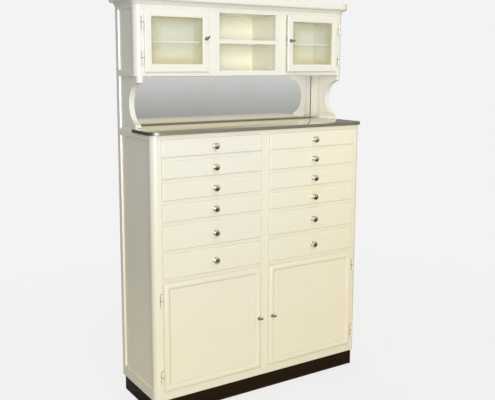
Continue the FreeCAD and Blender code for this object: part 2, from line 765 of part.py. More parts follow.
def door_leaf(
    label, hand, pose, width, height, stile, rail, lip, overlap, rounding, pane, pane_set, hinge_inset, latch_height
):
    """One framed door, drawn from its hinge axis: moulded frame with a lip round its opening, pane, hinge knuckles
    and turn latch."""
    inner_face = "(hinge_reach - front_gap)"
    outer_face = f"({inner_face} - {lip})"
    start = across(hand, "hinge_offset", f"hinge_offset + {width}")[0]

    frame = doc.addObject("PartDesign::Body", f"{label}_ring")
    profile = sketch(frame, "XZ_Plane")
    draw(profile, rectangle("0", "0", width, height))
    draw(profile, rectangle(stile, rail, f"{width} - {stile}", f"{height} - {rail}"))
    ring = pad(frame, profile, lip)
    face = -ring.Length.Value
    soften(frame, ring, rounding, lambda edge: all(abs(v.Y - face) < 0.01 for v in edge.Vertexes))
    rebate = f"({overlap} + rebate_play)"
    tucked = sketch(frame, "XZ_Plane", "tucked")
    draw(tucked, rectangle(rebate, rebate, f"{width} - {rebate}", f"{height} - {rebate}"))
    draw(tucked, rectangle(stile, rail, f"{width} - {stile}", f"{height} - {rail}"))
    pad(frame, tucked, f"door_board - {lip}", backwards=True)
    hole = frame.newObject("PartDesign::Pocket", f"{label}_spindle_hole")
    hole.Profile = sketch(frame, "XZ_Plane", "hole")
    spindle_x = f"{width} - latch_inset" if hand > 0 else "latch_inset"
    drill(hole.Profile[0], spindle_x, latch_height, "spindle_radius + spindle_clearance")
    hole.Midplane = True
    bind(hole, Length="2 * door_board")
    place(frame, start, inner_face)
    pose(node(f"{label}_frame", frame))

    span = across(hand, f"hinge_offset + {stile}", f"hinge_offset + {width} - {stile}")
    depth = (f"{outer_face} + {pane_set}", f"{outer_face} + {pane_set} + {pane}")
    sheet_name = "glass" if pane == "glass_pane" else "panel"
    pose(node(f"{label}_{sheet_name}", box(f"{label}_pane", span, depth, (rail, f"{height} - {rail}"))))

    knuckles = []
    for i, middle in enumerate((hinge_inset, f"({height} - {hinge_inset})"), 1):
        foot = f"({middle} + knuckle_gap / 2)"
        tube = rod(f"{label}_tube_{i}", "knuckle_radius", "knuckle_length", z=foot)
        tab_y = ("knuckle_radius - hinge_leaf", "knuckle_radius")
        tab_z = (foot, f"{foot} + knuckle_length")
        tab = box(f"{label}_tab_{i}", across(hand, "0", "hinge_offset"), tab_y, tab_z)
        bore = rod(f"{label}_bore_{i}", "pin_radius + pin_clearance", "pin_length + knuckle_gap", z=foot)
        knuckles.append(cut(f"{label}_knuckle_{i}", fuse(f"{label}_leaf_{i}", tube, tab), bore))
    pose(node(f"{label}_hinges", *knuckles))

    pose(turn_latch(label, hand, outer_face, f"hinge_offset + {width} - latch_inset", latch_height))


def turn_latch(label, hand, outer_face, reach, height):
    """A rosette and spindle with a thumb lever in front and a tongue behind the frame, drawn from the hinge axis."""
    x = f"{hand} * ({reach})"
    tip = f"({outer_face} - latch_reach)"
    spindle_front = f"({tip} + lever_thickness / 2)"
    tongue_front = "(hinge_reach + frame_board + tongue_gap)"
    along = {"z": height, "turn": (-1, 0, 0)}
    length = f"{tongue_front} - {spindle_front}"
    spindle = rod(f"{label}_spindle", "spindle_radius", length, x, spindle_front, **along)
    rose_front = f"{outer_face} - rosette_gap - rosette"
    rose = rod(f"{label}_rose", "rosette_radius", "rosette", x, rose_front, **along)

    half_width, half_thickness = "lever_width / 2", "lever_thickness / 2"
    depth = (f"-{half_thickness}", half_thickness)
    lever = fuse(
        f"{label}_lever",
        box(f"{label}_grip", ("0", "lever_length"), depth, (f"-{half_width}", half_width)),
        rod(f"{label}_grip_root", half_width, "lever_thickness", "0", depth[0], turn=(-1, 0, 0)),
        rod(f"{label}_grip_end", half_width, "lever_thickness", "lever_length", depth[0], turn=(-1, 0, 0)),
    )
    place(lever, x, tip, height)
    if label == "upper_door_left":
        lever.Placement.Rotation = FreeCAD.Rotation(FreeCAD.Vector(0, -1, 0), SIZES["lever_tilt"])
        bind(lever, **{"Placement.Rotation.Angle": "lever_tilt"})

    tongue = box(
        f"{label}_tongue",
        (f"{x} - tongue_width / 2", f"{x} + tongue_width / 2"),
        (tongue_front, f"{tongue_front} + tongue_thickness"),
        (f"{height} - tongue_width / 2", f"{height} + tongue_length"),
    )
    return node(f"{label}_latch", fuse(f"{label}_turn", spindle, rose), lever, tongue)


def fixed_leaf(label, hand, x, y, z):
    """The half of a lift-off hinge that stays on the corner post: leaf, web, knuckle and pin."""
    foot = "(0 - knuckle_gap / 2 - knuckle_length)"
    tube = rod(f"{label}_tube", "knuckle_radius", "knuckle_length", z=foot)
    pin = rod(f"{label}_pin", "pin_radius", "knuckle_gap + pin_length + pin_length / 2", z="0 - pin_length / 2")
    height = (foot, "knuckle_gap / 2 + knuckle_length")
    reach = ("hinge_reach - hinge_leaf", "hinge_reach")
    plate_x = across(hand, "hinge_offset - leaf_play - leaf_width", "hinge_offset - leaf_play")
    plate = box(f"{label}_plate", plate_x, reach, height)
    web = box(f"{label}_web", ("0 - pin_radius", "pin_radius"), ("0", reach[0]), (foot, "0 - knuckle_gap / 2"))
    return place(fuse(label, tube, pin, plate, web), x, y, z)


def doors():
    lower_edge = f"({OUTER_EDGE} + front_overlap)"
    upper_edge = f"({OUTER_EDGE} + upper_overlap)"
    upper_width = f"({upper_edge} + upper_overlap - niche_width / 2 - mullion_width)"
    lower = (f"({lower_edge} - column_gap / 2)", "lower_door_height", "lower_stile", "lower_stile",
             "lower_lip", "front_overlap", "lower_door_round", "lower_panel", "lower_panel_set",
             "lower_hinge_inset", "lower_latch_height")
    upper = (upper_width, "(upper_opening + 2 * upper_overlap)", "upper_stile", "upper_door_rail",
             "upper_lip", "upper_overlap", "upper_door_round", "glass_pane", "glass_set",
             "upper_hinge_inset", "upper_latch_height")
    rows = (
        ("lower", lower, lower_edge, FACE, DOOR_BOTTOM),
        ("upper", upper, upper_edge, UPPER_FACE, f"({UPPER_FLOOR} - upper_overlap)"),
    )
    leaves = []
    for level, sizes, edge, face, z in rows:
        for name, side in SIDES.items():
            label = f"{level}_door_{name}"
            x = across(side, f"{edge} + hinge_offset", f"{edge} + hinge_offset")[0]
            y = f"{face} - hinge_reach"

            def pose(piece):
                place(piece, x, y, z)
                if label == "upper_door_right":
                    bind(piece, **{"Placement.Rotation.Angle": "ajar_angle"})

            door_leaf(label, -side, pose, *sizes)
            height, hinge_inset = sizes[1], sizes[-2]
            for i, middle in enumerate((hinge_inset, f"{height} - {hinge_inset}"), 1):
                leaves.append(fixed_leaf(f"{label}_fixed_{i}", -side, x, y, f"{z} + {middle}"))
    node("hinge_leaves", *leaves)


plinth()
side_frames()
corner_posts()
brackets()
lower_face_frame()
case_boards()
back_boards()
cupboard_shelves()
worktop()
mirror()
upper_case()
cornice()
for column, hand in SIDES.items():
    for row in range(1, len(ROW_HEIGHTS) + 1):
        drawer(column, hand, row)
doors()
doc.recompute()

for thing in doc.Objects:
    if {"Invalid", "Error"} & set(thing.State):
        raise RuntimeError(f"{thing.Label} did not build")
os.makedirs("parts", exist_ok=True)
for thing in nodes:
    if thing.Shape.isNull() or not thing.Shape.isValid():
        raise RuntimeError(f"{thing.Label} has no sound shape")
    thing.Shape.exportStep(f"parts/{thing.Label}.step")
print(f"{len(nodes)} nodes, {sum(len(thing.Shape.Solids) for thing in nodes)} solids")
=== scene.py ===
import bmesh
import bpy
import json
import math
from mathutils import Matrix, Vector


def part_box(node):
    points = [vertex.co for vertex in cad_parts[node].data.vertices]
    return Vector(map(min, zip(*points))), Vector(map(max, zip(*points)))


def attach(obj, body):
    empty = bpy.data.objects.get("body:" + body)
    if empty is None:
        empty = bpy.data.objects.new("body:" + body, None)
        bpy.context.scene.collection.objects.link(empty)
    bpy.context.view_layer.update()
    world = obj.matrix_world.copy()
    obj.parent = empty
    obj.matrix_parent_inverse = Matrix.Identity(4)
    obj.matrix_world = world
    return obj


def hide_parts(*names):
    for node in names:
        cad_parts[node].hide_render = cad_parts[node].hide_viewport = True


# Medical cabinet of painted wood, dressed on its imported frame.
# Lengths are in metres, the front faces -Y, and the floor is at z 0.
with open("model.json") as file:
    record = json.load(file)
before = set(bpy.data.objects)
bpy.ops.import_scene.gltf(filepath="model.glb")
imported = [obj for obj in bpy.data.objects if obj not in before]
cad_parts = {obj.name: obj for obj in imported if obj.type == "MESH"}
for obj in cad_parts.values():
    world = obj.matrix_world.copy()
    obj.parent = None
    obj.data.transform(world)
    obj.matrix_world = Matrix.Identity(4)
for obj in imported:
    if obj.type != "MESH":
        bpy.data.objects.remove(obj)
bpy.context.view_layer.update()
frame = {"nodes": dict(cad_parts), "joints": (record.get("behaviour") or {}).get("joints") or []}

# Plinth: a skirting of four softwood boards, set back under the case and glued at the corners.
# It is stained black-brown and lacquered, with its front corners eased by hand and its foot scuffed.
plinth_board = 0.018
plinth_corner = 0.007
plinth_arris = 0.0012
plinth_grain = (6.0, 6.0, 90.0)
dark_stain = (0.0095, 0.0046, 0.0011)
light_stain = (0.0215, 0.0108, 0.0032)
scuffed_wood = (0.095, 0.075, 0.055)
scuff_height = 0.012


def new_finish(name):
    """A new material, its node tree and its shader."""
    material = bpy.data.materials.new(name)
    material.use_nodes = True
    return material, material.node_tree, material.node_tree.nodes["Principled BSDF"]


def add(tree, kind, inputs=None, **values):
    """A node with its properties and the values of its input sockets."""
    made = tree.nodes.new(kind)
    for name, value in values.items():
        setattr(made, name, value)
    for socket, value in (inputs or {}).items():
        made.inputs[socket].default_value = value
    return made


def on_piece(tree, stretch=(1.0, 1.0, 1.0)):
    """The piece's own coordinates, in metres, drawn together across the grain."""
    place = add(tree, "ShaderNodeTexCoord")
    drawn = add(tree, "ShaderNodeMapping", inputs={"Scale": stretch})
    tree.links.new(place.outputs["Object"], drawn.inputs["Vector"])
    return drawn.outputs["Vector"]


def along(tree, axis):
    """One of the piece's own coordinates."""
    parts = add(tree, "ShaderNodeSeparateXYZ")
    tree.links.new(on_piece(tree), parts.inputs["Vector"])
    return parts.outputs[axis]


def cloudy(tree, scale, detail=3.0, roughness=0.55, stretch=(1.0, 1.0, 1.0)):
    """Soft noise on the piece, from 0 to 1."""
    noise = add(
        tree, "ShaderNodeTexNoise", inputs={"Scale": scale, "Detail": detail, "Roughness": roughness},
    )
    tree.links.new(on_piece(tree, stretch), noise.inputs["Vector"])
    return noise.outputs["Fac"]


def remap(tree, value, span, to=(0.0, 1.0)):
    """Carries a value from one span to another, and holds it at the ends."""
    ranged = add(
        tree, "ShaderNodeMapRange",
        inputs={"From Min": span[0], "From Max": span[1], "To Min": to[0], "To Max": to[1]},
    )
    tree.links.new(value, ranged.inputs["Value"])
    return ranged.outputs["Result"]


def spread(tree, noise, to):
    """Carries the span in which most of a soft noise lies to another."""
    return remap(tree, noise, (0.3, 0.7), to)


def reckon(tree, operation, *terms):
    """The result of a sum, each term of which is a number or the output of another node."""
    result = add(tree, "ShaderNodeMath", operation=operation)
    for socket, term in zip(result.inputs, terms):
        if isinstance(term, float):
            socket.default_value = term
        else:
            tree.links.new(term, socket)
    return result.outputs["Value"]


def times(tree, first, second):
    """The product of two terms."""
    return reckon(tree, "MULTIPLY", first, second)


def blend(tree, share, first, second):
    """A colour between two, each a colour or the output of another node."""
    mixed = add(tree, "ShaderNodeMix", data_type="RGBA")
    tree.links.new(share, mixed.inputs["Factor"])
    # The node has sockets for other kinds of value too, and those for colours are known by number.
    for socket, colour in ((6, first), (7, second)):
        if isinstance(colour, tuple):
            mixed.inputs[socket].default_value = (*colour, 1)
        else:
            tree.links.new(colour, mixed.inputs[socket])
    return mixed.outputs[2]


def coat(tree, shader, colour, roughness, metallic=0.0):
    """Gives a finish its colour and its sheen."""
    tree.links.new(colour, shader.inputs["Base Color"])
    tree.links.new(roughness, shader.inputs["Roughness"])
    shader.inputs["Metallic"].default_value = metallic


def relief(tree, shader, height, depth, eased=0.0):
    """Raises the surface by a height, over edges that are eased by a radius."""
    bump = add(tree, "ShaderNodeBump", inputs={"Strength": 1.0, "Distance": depth})
    tree.links.new(height, bump.inputs["Height"])
    if eased:
        round_edge = add(tree, "ShaderNodeBevel", samples=6, inputs={"Radius": eased})
        tree.links.new(round_edge.outputs["Normal"], bump.inputs["Normal"])
    tree.links.new(bump.outputs["Normal"], shader.inputs["Normal"])


def ease(bm, geom, offset, affect, segments):
    """Rounds the corners of an outline or the edges of a solid."""
    bmesh.ops.bevel(
        bm, geom=geom, offset=offset, affect=affect, segments=segments, profile=0.5, material=-1,
    )


def only_corners(geom):
    """The vertices among what an operator has made."""
    return [v for v in geom if isinstance(v, bmesh.types.BMVert)]


def draw_out(bm, vec, arris, segments):
    """Draws a flat plan out into a solid, and takes the sharpness off its edges."""
    far_end = bmesh.ops.extrude_face_region(bm, geom=bm.faces[:])["geom"]
    bmesh.ops.translate(bm, verts=only_corners(far_end), vec=vec)
    bmesh.ops.recalc_face_normals(bm, faces=bm.faces[:])
    sharp = [e for e in bm.edges if e.calc_face_angle() > math.radians(60)]
    ease(bm, sharp, arris, "EDGES", segments)


def fit_piece(name, bm, finishes, body, replaced, smooth_under):
    """Makes a mesh one piece of the cabinet, riding on a body in place of a CAD node."""
    for edge in bm.edges:
        edge.smooth = len(edge.link_faces) == 2 and edge.calc_face_angle() < math.radians(smooth_under)
    for face in bm.faces:
        face.smooth = True
    mesh = bpy.data.meshes.new(name)
    bm.to_mesh(mesh)
    bm.free()
    for finish in finishes:
        mesh.materials.append(finish)
    piece = bpy.data.objects.new(name, mesh)
    bpy.context.scene.collection.objects.link(piece)
    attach(piece, body)
    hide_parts(replaced)


black_lacquer, tree, shader = new_finish("black_lacquer")
streaks = cloudy(tree, scale=4.0, detail=6.0, stretch=plinth_grain)
stain = blend(tree, streaks, dark_stain, light_stain)
near_floor = remap(tree, along(tree, "Z"), (0.0, scuff_height), to=(0.45, 0.0))
scuffs = times(tree, cloudy(tree, scale=45.0), near_floor)
coat(tree, shader, blend(tree, scuffs, stain, scuffed_wood), spread(tree, streaks, to=(0.42, 0.58)))
relief(tree, shader, streaks, depth=0.00025)
shader.inputs["Specular IOR Level"].default_value = 0.08

low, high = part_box("plinth")
bm = bmesh.new()
outline = ((low.x, low.y), (high.x, low.y), (high.x, high.y), (low.x, high.y))
bm.faces.new([bm.verts.new((x, y, low.z)) for x, y in outline])
front_corners = [v for v in bm.verts if v.co.y < 0]
ease(bm, front_corners, plinth_corner, "VERTICES", segments=5)
middle = bm.faces[:]
bmesh.ops.inset_region(bm, faces=middle, thickness=plinth_board, use_boundary=True, use_even_offset=True)
bmesh.ops.delete(bm, geom=middle, context="FACES")
draw_out(bm, (0, 0, high.z - low.z), plinth_arris, segments=2)
fit_piece("plinth_skirting", bm, [black_lacquer], "cabinet", "plinth", smooth_under=50)

# Case: side frames with their panels, corner posts, curved brackets, face frames and cornice, in joined
# softwood. It was filled and sprayed as one with glossy cream enamel. Its colour is painted light: warmer
# towards the foot, and lighter and warmer to the right below the mirror bay. Its joints are darkened with
# a little painted shade.
fresh_cream = (0.832, 0.820, 0.749)
# Painted light: a warmer cream towards the foot and a lighter, warmer cream to the right. Painted shade in
# the joints.
foot_bounce_cream = (0.760, 0.690, 0.505)
lit_right_cream = (0.960, 0.885, 0.650)
joint_shade_colour = (0.600, 0.510, 0.310)
foot_bounce_span = (1.30, 0.30)
lit_right_span = (-0.10, 0.45)
bay_foot = (1.10, 1.20)
joint_shade_reach = 0.003
sprayed_edge = 0.0014
orange_peel = 0.00008
case_gloss = 0.18


def crevice(tree, reach, full_at, open_at=0.85):
    """1 deep in the joints and corners of the cabinet, 0 on open faces."""
    hollow = add(tree, "ShaderNodeAmbientOcclusion", samples=6, inputs={"Distance": reach})
    return remap(tree, hollow.outputs["AO"], (full_at, open_at), to=(1.0, 0.0))


def enamel(name, fresh, gloss):
    """Sprayed enamel: cloudy cream, orange peel, eased edges, painted shade in the joints, and painted
    light at the foot and to the right.
    """
    material, tree, shader = new_finish(name)
    clouds = spread(tree, cloudy(tree, scale=3.5), to=(0.85, 1.0))
    to_right = remap(tree, along(tree, "X"), lit_right_span, to=(0.0, 0.75))
    below_bay = remap(tree, along(tree, "Z"), bay_foot, to=(1.0, 0.25))
    to_foot = remap(tree, along(tree, "Z"), foot_bounce_span, to=(0.0, 0.90))
    # Painted light: lighter and warmer to the right below the bay, and warmer towards the foot.
    paint = blend(tree, times(tree, times(tree, to_right, below_bay), clouds), fresh, lit_right_cream)
    paint = blend(tree, times(tree, to_foot, clouds), paint, foot_bounce_cream)
    # Painted shade darkens the joints and corners.
    joint_shade_share = times(tree, crevice(tree, joint_shade_reach, full_at=0.10), 0.12)
    sheen = remap(tree, clouds, (0.85, 1.0), to=(gloss, gloss + 0.05))
    coat(tree, shader, blend(tree, joint_shade_share, paint, joint_shade_colour), sheen)
    relief(tree, shader, cloudy(tree, scale=170.0, detail=2.0), orange_peel, sprayed_edge)
    return material


def over(material, share, colour):
    """Lays a second colour over the one a finish has."""
    tree = material.node_tree
    socket = tree.nodes["Principled BSDF"].inputs["Base Color"]
    tree.links.new(blend(tree, share, socket.links[0].from_socket, colour), socket)


def paint_nodes(finish, *names):
    """Gives CAD nodes whose shape is right a finish of their own."""
    for name in names:
        for socket in frame["nodes"][name].material_slots:
            socket.material = finish


case_enamel = enamel("case_enamel", fresh_cream, case_gloss)
paint_nodes(
    case_enamel,
    "left_side_frame", "right_side_frame", "side_panels", "corner_posts", "brackets",
    "lower_face_frame", "upper_face_frame", "cornice",
)

# Inside boards: cupboard floor, partition, drawer guides, dust boards, shelves and the worktop's core.
# Plain pine, planed and left bare, let into the frame, with the grain running from side to side.
pale_pine = (0.560, 0.390, 0.215)
late_pine = (0.385, 0.225, 0.100)
grain_sideways = (0.6, 14.0, 14.0)
planed_edge = 0.0010


def pine_grain(tree, stretch):
    """The colour of planed pine, with growth lines and pores along the grain, and the pores alone."""
    growth = cloudy(tree, scale=1.4, detail=7.0, roughness=0.68, stretch=stretch)
    pores = cloudy(tree, scale=60.0, detail=5.0, roughness=0.7, stretch=stretch)
    board = blend(tree, remap(tree, growth, (0.36, 0.66), to=(0.0, 0.75)), pale_pine, late_pine)
    return blend(tree, remap(tree, pores, (0.35, 0.65), to=(0.30, 0.0)), board, late_pine), pores


bare_pine, tree, shader = new_finish("bare_pine")
grain, pores = pine_grain(tree, grain_sideways)
coat(tree, shader, grain, spread(tree, pores, to=(0.70, 0.52)))
relief(tree, shader, pores, depth=0.0002, eased=planed_edge)
paint_nodes(bare_pine, "case_boards", "cupboard_shelves", "worktop_board")

# Back boards: three thin panels let into the rebate of the case and nailed on from behind.
# The faces seen from the front are enamelled with the case, in the lighter and warmer inside cream that is
# painted light, and the rear faces are bare wood.
rear_skin = 0.0005
paint_edge = 0.0002
# Painted light: the inside cream is a lighter, warmer copy of the case's cream.
lit_inside_cream = (0.925, 0.910, 0.775)
inside_gloss = 0.20
pine_roughness = 0.62
grain_upright = (14.0, 14.0, 0.6)


def enamel_over_pine(name, fresh, bare_from, stretch):
    """Enamel on the front of a piece, and bare pine from one depth of the cabinet backwards."""
    material = enamel(name, fresh, inside_gloss)
    tree = material.node_tree
    bare = remap(tree, along(tree, "Y"), (bare_from - paint_edge, bare_from + paint_edge))
    over(material, bare, pine_grain(tree, stretch)[0])
    roughness = tree.nodes["Principled BSDF"].inputs["Roughness"]
    sheen = add(tree, "ShaderNodeMix", data_type="FLOAT", inputs={"B": pine_roughness})
    tree.links.new(bare, sheen.inputs["Factor"])
    tree.links.new(roughness.links[0].from_socket, sheen.inputs["A"])
    tree.links.new(sheen.outputs["Result"], roughness)
    return material


rear_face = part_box("back_boards")[1].y
back_enamel = enamel_over_pine("back_enamel", lit_inside_cream, rear_face - rear_skin, grain_upright)
paint_nodes(back_enamel, "back_boards")

# Worktop: a sheet of white metal folded down over the edges of a wooden core and pinned underneath.
# The top is worn to a fine sheen from side to side, with a dark band of painted shade and reflection below
# the mirror. The rim is duller and darker: it is a copy of the top's metal, darkened as painted shade.
worktop_sheet = 0.0015
worktop_corner = 0.040
worktop_fold = 0.0012
shoulder_y = 0.01345
neck_x = 0.4877
# Painted shade and reflection: a dark band along the back of the top, below the mirror.
back_shade_span = (0.070, 0.120)
brushed_sideways = (5.0, 260.0, 260.0)
dull_metal = (0.830, 0.790, 0.660)
bright_metal = (0.910, 0.868, 0.735)
stained_metal = (0.62, 0.57, 0.44)
metal_back_shade = (0.120, 0.098, 0.065)
rubbed_round = (30.0, 30.0, 200.0)
shaded_rim_dark = (0.300, 0.286, 0.245)
shaded_rim_light = (0.430, 0.412, 0.360)

worn_metal, tree, shader = new_finish("worn_metal")
brushed = cloudy(tree, scale=2.0, detail=4.0, roughness=0.6, stretch=brushed_sideways)
stains = cloudy(tree, scale=7.0, detail=5.0, roughness=0.6)
metal = blend(tree, brushed, dull_metal, bright_metal)
metal = blend(tree, remap(tree, stains, (0.52, 0.75), to=(0.0, 0.35)), metal, stained_metal)
streaky = remap(tree, brushed, (0.35, 0.65), to=(0.6, 1.0))
# Painted shade and reflection darken the back of the top.
dark_band_share = times(tree, remap(tree, along(tree, "Y"), back_shade_span, to=(0.0, 0.9)), streaky)
metal = blend(tree, dark_band_share, metal, metal_back_shade)
coat(tree, shader, metal, spread(tree, brushed, to=(0.09, 0.15)), metallic=1.0)
relief(tree, shader, brushed, depth=0.00002)

# Painted shade: the rim is a darker copy of the top's metal.
shaded_rim_metal, tree, shader = new_finish("shaded_rim_metal")
rubbed = cloudy(tree, scale=3.0, detail=4.0, stretch=rubbed_round)
metal = blend(tree, rubbed, shaded_rim_dark, shaded_rim_light)
coat(tree, shader, metal, spread(tree, rubbed, to=(0.42, 0.54)), metallic=1.0)
relief(tree, shader, rubbed, depth=0.00005)

low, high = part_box("worktop_metal")
bm = bmesh.new()
right_half = [(high.x, low.y), (high.x, shoulder_y), (neck_x, shoulder_y), (neck_x, high.y)]
outline = right_half + [(-x, y) for x, y in reversed(right_half)]
bm.faces.new([bm.verts.new((x, y, high.z)) for x, y in outline])
front_corners = [v for v in bm.verts if v.co.y < low.y + worktop_sheet]
ease(bm, front_corners, worktop_corner, "VERTICES", segments=12)
exposed = [e for e in bm.edges if all(v.co.y < shoulder_y + worktop_sheet for v in e.verts)]
folded = bmesh.ops.extrude_edge_only(bm, edges=exposed)["geom"]
bmesh.ops.translate(bm, verts=only_corners(folded), vec=(0, 0, low.z - high.z))
bmesh.ops.recalc_face_normals(bm, faces=bm.faces[:])
top = max(bm.faces, key=lambda face: face.calc_area())
if top.normal.z < 0:
    bmesh.ops.reverse_faces(bm, faces=bm.faces[:])
for face in bm.faces:
    face.material_index = 0 if face == top else 1
fold_line = [e for e in top.edges if len(e.link_faces) == 2]
ease(bm, fold_line, worktop_fold, "EDGES", segments=3)
bmesh.ops.solidify(bm, geom=bm.faces[:], thickness=worktop_sheet)
fit_piece(
    "worktop_cap", bm, [worn_metal, shaded_rim_metal], "cabinet", "worktop_metal",
    smooth_under=40,
)

# Mirror: a pane of old silvered plate glass along the back of the bay, bedded on the back board and held by
# painted wooden beads. Its silver has greyed, with specks of foxing near the foot. The black bands at its
# sides are painted shade of the gaps beside the pane, and the bead at the foot is darkened as painted shade
# of the gap above the worktop.
bead_width = 0.006
bead_gap_shade = (0.170, 0.148, 0.105)
bead_gap_shade_fade = 0.0015
dull_silver = (0.730, 0.735, 0.725)
bright_silver = (0.790, 0.795, 0.790)
foxed_silver = (0.30, 0.29, 0.27)
foxing_foot = (1.150, 1.215)
# Painted shade: black bands at the sides of the pane.
edge_shade_silver = (0.035, 0.034, 0.030)
edge_shade_width = 0.003
edge_shade_fade = 0.003


def off_middle(tree, value, middle):
    """How far a value lies from a middle, either way."""
    return reckon(tree, "ABSOLUTE", reckon(tree, "SUBTRACT", value, middle))


beads_low, beads_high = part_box("mirror_beads")
silvered_glass, tree, shader = new_finish("silvered_glass")
specks = cloudy(tree, scale=130.0, detail=4.0, roughness=0.7)
near_foot = remap(tree, along(tree, "Z"), foxing_foot, to=(1.0, 0.25))
foxed = times(tree, remap(tree, specks, (0.64, 0.74), to=(0.0, 0.5)), near_foot)
haze = cloudy(tree, scale=5.0)
silver = blend(tree, haze, dull_silver, bright_silver)
silver = blend(tree, foxed, silver, foxed_silver)
# Painted shade of the gaps beside the pane blackens the silver at its sides.
edge_shade_from = beads_high.x - bead_width - edge_shade_width
to_side = off_middle(tree, along(tree, "X"), 0.0)
edge_shade_share = remap(tree, to_side, (edge_shade_from - edge_shade_fade, edge_shade_from), to=(0.0, 0.85))
silver = blend(tree, edge_shade_share, silver, edge_shade_silver)
coat(tree, shader, silver, spread(tree, haze, to=(0.02, 0.05)), metallic=1.0)
paint_nodes(silvered_glass, "mirror")

bead_enamel = enamel("bead_enamel", fresh_cream, inside_gloss)
tree = bead_enamel.node_tree
foot_bead_top = beads_low.z + bead_width
# Painted shade: the bead at the foot is darkened.
dark_band_share = remap(tree, along(tree, "Z"), (foot_bead_top - bead_gap_shade_fade, foot_bead_top), to=(0.85, 0.0))
over(bead_enamel, dark_band_share, bead_gap_shade)
paint_nodes(bead_enamel, "mirror_beads")

# Upper case: floor, head and walls of painted boards, open in the middle as a niche with one shelf, and
# with thinner shelves behind the glazed doors. Enamelled with the rest, in a lighter and warmer cream
# inside that is painted light.
niche_end = 0.150
glazed_shelf = 0.008

niche_enamel = enamel("niche_enamel", lit_inside_cream, inside_gloss)
paint_nodes(niche_enamel, "upper_case_boards")

low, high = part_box("upper_shelves")
bm = bmesh.new()
bm.from_mesh(frame["nodes"]["upper_shelves"].data)
bmesh.ops.remove_doubles(bm, verts=bm.verts[:], dist=1e-6)
glazed_tops = [v for v in bm.verts if abs(v.co.x) > niche_end and v.co.z > (low.z + high.z) / 2]
bmesh.ops.translate(bm, verts=glazed_tops, vec=(0, 0, low.z + glazed_shelf - high.z))
fit_piece(
    "upper_shelf_boards", bm, [case_enamel], "cabinet", "upper_shelves", smooth_under=40,
)

# Drawers: twelve thin fronts with rounded edges, glued on plain boxes of bare pine that slide on dust
# boards. Only the front board is enamelled, and the paint stops at its rear face.
front_board = 0.008
grain_inward = (14.0, 0.6, 14.0)
drawers = [name for name in frame["nodes"] if name.startswith("drawer_")]
front_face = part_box(drawers[0])[0].y
drawer_enamel = enamel_over_pine("drawer_enamel", fresh_cream, front_face + front_board, grain_inward)
paint_nodes(drawer_enamel, *drawers)

# Knobs: turned brass, nickel plated, one screwed through the middle of each drawer front.
# A small rose, a waisted neck and a conical head with a flat face, dulled by handling.
# Each corner of the outline is given by its radius, its distance from the front and its rounding.
knob_outline = (
    (0.0000, 0.0000, 0.0000), (0.0093, 0.0000, 0.0006), (0.0093, 0.0028, 0.0012), (0.0056, 0.0044, 0.0020),
    (0.0054, 0.0112, 0.0022), (0.0128, 0.0168, 0.0024), (0.0128, 0.0230, 0.0026), (0.0000, 0.0230, 0.0000),
)
dull_knob = (0.780, 0.730, 0.600)
bright_knob = (0.880, 0.830, 0.710)
nickel_tarnish = (0.065, 0.052, 0.036)
tarnished_hollow = 0.006


def nickel(name, dull, bright):
    """Nickel plate, uneven from handling, with tarnish in its hollows."""
    material, tree, shader = new_finish(name)
    handled = cloudy(tree, scale=90.0, detail=4.0, roughness=0.6)
    tarnish = times(tree, crevice(tree, tarnished_hollow, full_at=0.15), 0.9)
    plate = blend(tree, tarnish, blend(tree, handled, dull, bright), nickel_tarnish)
    coat(tree, shader, plate, spread(tree, handled, to=(0.10, 0.17)), metallic=1.0)
    relief(tree, shader, handled, depth=0.00002)
    return material


def turn(bm, outline, steps):
    """Turns an outline's corners about -Y into a solid of revolution."""
    corners = [bm.verts.new((radius, -distance, 0)) for radius, distance, rounding in outline]
    for pair in zip(corners, corners[1:]):
        bm.edges.new(pair)
    for corner, (radius, distance, rounding) in zip(corners, outline):
        if rounding:
            ease(bm, [corner], rounding, "VERTICES", segments=4)
    bmesh.ops.spin(
        bm, geom=bm.verts[:] + bm.edges[:], cent=(0, 0, 0), axis=(0, 1, 0), angle=math.tau, steps=steps,
        use_merge=True,
    )
    bmesh.ops.remove_doubles(bm, verts=bm.verts[:], dist=1e-6)
    bmesh.ops.recalc_face_normals(bm, faces=bm.faces[:])


knob_nickel = nickel("knob_nickel", dull_knob, bright_knob)
for drawer in drawers:
    knob = drawer.replace("drawer", "knob")
    low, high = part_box(knob)
    bm = bmesh.new()
    turn(bm, knob_outline, steps=40)
    bmesh.ops.translate(bm, verts=bm.verts[:], vec=((low.x + high.x) / 2, high.y, (low.z + high.z) / 2))
    fit_piece(f"turned_{knob}", bm, [knob_nickel], drawer, knob, smooth_under=60)

# Doors: mitred frames with a lip round the opening, enamelled with the case. The lower pair have a broad
# convex moulding round flat panels, and the lighter upper pair hold panes of thin clear glass set in putty,
# with a faint haze. The warmer foot of each pane is painted light, and the yellower band by the putty is
# painted shade.
lower_doors = ["lower_door_left", "lower_door_right"]
upper_doors = ["upper_door_left", "upper_door_right"]
door_gloss = 0.16
moulding_width = 0.0290
moulding_rise = 0.0090
moulding_fullness = 2.4
moulding_steps = 14
frame_rear = 0.0180
lip_inset = 0.0085
lip_depth = 0.0120
thin_haze = (0.770, 0.830, 0.690)
dusty_haze = (0.820, 0.870, 0.740)
# Painted light: a warmer haze at the foot of each pane. Painted shade: a yellower band by the putty.
painted_warm_haze = (0.900, 0.880, 0.580)
painted_warm_from = 0.6
putty_edge_shade = (0.620, 0.540, 0.260)
putty_shade_from = 0.55
shadow_share = 0.3

door_enamel = enamel("door_enamel", fresh_cream, door_gloss)
paint_nodes(door_enamel, *[f"{door}_frame" for door in upper_doors])
paint_nodes(door_enamel, *[f"{door}_panel" for door in lower_doors])

